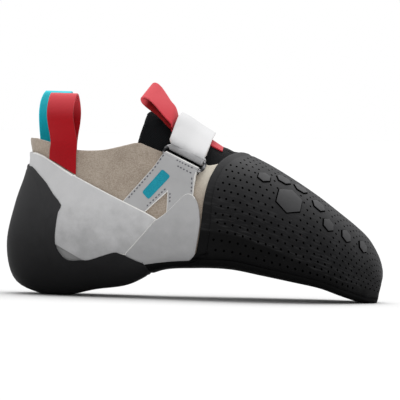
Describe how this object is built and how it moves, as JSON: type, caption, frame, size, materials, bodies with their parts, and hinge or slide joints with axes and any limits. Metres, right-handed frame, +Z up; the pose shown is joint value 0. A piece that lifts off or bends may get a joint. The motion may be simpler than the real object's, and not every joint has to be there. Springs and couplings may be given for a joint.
{
  "type": "climbing shoe",
  "caption": "Right climbing shoe with a hollow suede upper, grey side panels, moulded rubber heel and toe, an instep strap through a wire ring, and heel and tongue pull loops",
  "frame": {"origin": "on the floor, in the middle of the flat spot under the heel", "axes": "+X to the toe, -Y to the outer side of the foot, +Z up"},
  "size_m": [0.2398, 0.0905, 0.1363],
  "materials": {
    "suede": "napped suede",
    "insole_board": "matte",
    "black_rubber": "matte",
    "grey_panel": "matte microfibre",
    "wire": "dark plated",
    "white_strap": "smooth",
    "black_stretch": "knit",
    "red_ribbon": "ribbed weave",
    "teal_ribbon": "ribbed weave"
  },
  "bodies": {
    "root": {"upper": "suede", "insole": "insole_board", "outsole": "black_rubber", "heel_cup": "black_rubber", "toe_patch": "black_rubber", "quarter_panel": "grey_panel", "side_panel_outer": "grey_panel", "side_panel_inner": "grey_panel", "strap_base": "grey_panel", "ring": "wire", "strap": "white_strap", "tongue": "black_stretch", "tongue_ribbon": "red_ribbon", "pull_loop_outer": "red_ribbon", "pull_loop_inner": "teal_ribbon"}
  },
  "joints": []
}
